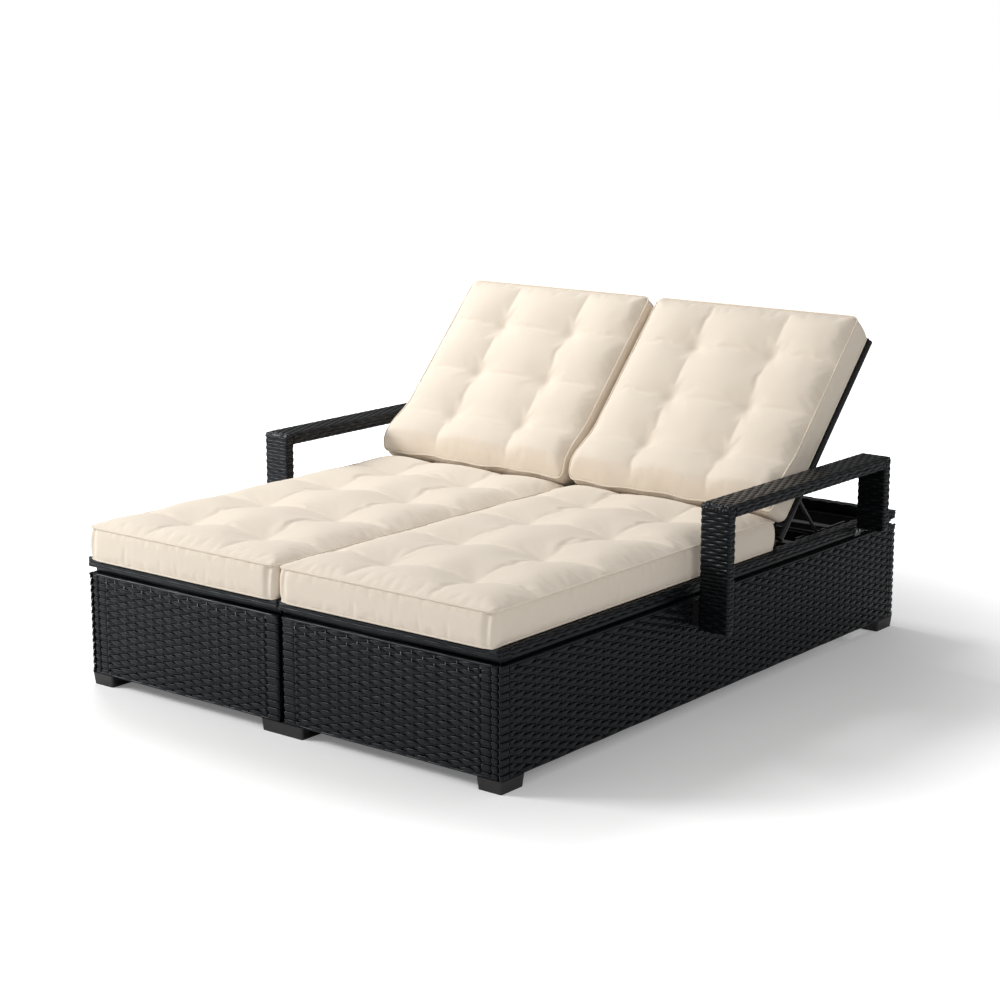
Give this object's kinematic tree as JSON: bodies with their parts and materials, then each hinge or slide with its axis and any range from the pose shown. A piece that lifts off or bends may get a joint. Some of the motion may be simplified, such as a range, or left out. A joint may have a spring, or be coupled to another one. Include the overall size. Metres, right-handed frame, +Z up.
{
  "type": "double chaise lounger",
  "caption": "Double chaise lounger with a low woven base in two halves, woven arms, tufted cushions and two backrests that recline one by one on notched prop stays.",
  "frame": {"origin": "on the floor, in the middle of the footprint over the arms and the rims", "axes": "+X across the lounger to the right of a person facing its foot end as in the picture, +Y from the foot end to the head end, +Z up"},
  "size_m": [1.612, 1.8641, 0.9322],
  "materials": {
    "black_wicker": "woven flat resin strips with a soft sheen",
    "black_steel": "glossy black powder coat",
    "bright_steel": "zinc plated steel",
    "cream_cloth": "woven outdoor cloth, cream, with piped edges",
    "dark_foot": "plain moulded plastic"
  },
  "bodies": {
    "base": {"left_front_panel": "black_wicker", "left_side_panel": "black_wicker", "left_rear_panel": "black_wicker", "left_front_rim": "black_wicker", "left_side_rim": "black_wicker", "left_rear_rim": "black_wicker", "left_base_frame": "black_steel", "left_seat_deck": "black_wicker", "left_seat_cushion": "cream_cloth", "left_arm_rail": "black_wicker", "left_arm_front_post": "black_wicker", "left_arm_rear_post": "black_wicker", "left_arm_spacer": "black_steel", "left_arm_rear_bracket": "black_steel", "left_arm_bolts": "bright_steel", "left_arm_screws": "bright_steel", "left_hinge_brackets": "black_steel", "left_hinge_pins": "bright_steel", "left_notched_racks": "black_steel", "right_front_panel": "black_wicker", "right_side_panel": "black_wicker", "right_rear_panel": "black_wicker", "right_front_rim": "black_wicker", "right_side_rim": "black_wicker", "right_rear_rim": "black_wicker", "right_base_frame": "black_steel", "right_seat_deck": "black_wicker", "right_seat_cushion": "cream_cloth", "right_arm_rail": "black_wicker", "right_arm_front_post": "black_wicker", "right_arm_rear_post": "black_wicker", "right_arm_spacer": "black_steel", "right_arm_rear_bracket": "black_steel", "right_arm_bolts": "bright_steel", "right_arm_screws": "bright_steel", "right_hinge_brackets": "black_steel", "right_hinge_pins": "bright_steel", "right_notched_racks": "black_steel", "front_centre_foot": "dark_foot", "rear_centre_foot": "dark_foot", "front_left_foot": "dark_foot", "front_right_foot": "dark_foot", "rear_left_foot": "dark_foot", "rear_right_foot": "dark_foot", "seam_bolts": "bright_steel"},
    "left_backrest": {"left_back_outer_tube": "black_steel", "left_back_inner_tube": "black_steel", "left_back_cross_tubes": "black_steel", "left_back_deck": "black_wicker", "left_back_cushion": "cream_cloth", "left_stay_pins": "bright_steel"},
    "right_backrest": {"right_back_outer_tube": "black_steel", "right_back_inner_tube": "black_steel", "right_back_cross_tubes": "black_steel", "right_back_deck": "black_wicker", "right_back_cushion": "cream_cloth", "right_stay_pins": "bright_steel"},
    "left_stay": {"left_prop_stay": "black_steel"},
    "right_stay": {"right_prop_stay": "black_steel"}
  },
  "joints": [
    {"name": "left_backrest_recline", "type": "hinge", "parent": "base", "child": "left_backrest", "pos_m": [0, 0.298, 0.34], "axis": [1, 0, 0], "range_deg": [-47, 0]},
    {"name": "left_stay_swing", "type": "hinge", "parent": "left_backrest", "child": "left_stay", "pos_m": [0, 0.42417, 0.4753], "axis": [1, 0, 0], "range_deg": [0, 94]},
    {"name": "right_backrest_recline", "type": "hinge", "parent": "base", "child": "right_backrest", "pos_m": [0, 0.298, 0.34], "axis": [1, 0, 0], "range_deg": [-47, 0]},
    {"name": "right_stay_swing", "type": "hinge", "parent": "right_backrest", "child": "right_stay", "pos_m": [0, 0.42417, 0.4753], "axis": [1, 0, 0], "range_deg": [0, 94]}
  ],
  "couplings": [
    {"joint": "left_stay_swing", "follows": "left_backrest_recline", "ratio": -2},
    {"joint": "right_stay_swing", "follows": "right_backrest_recline", "ratio": -2}
  ]
}
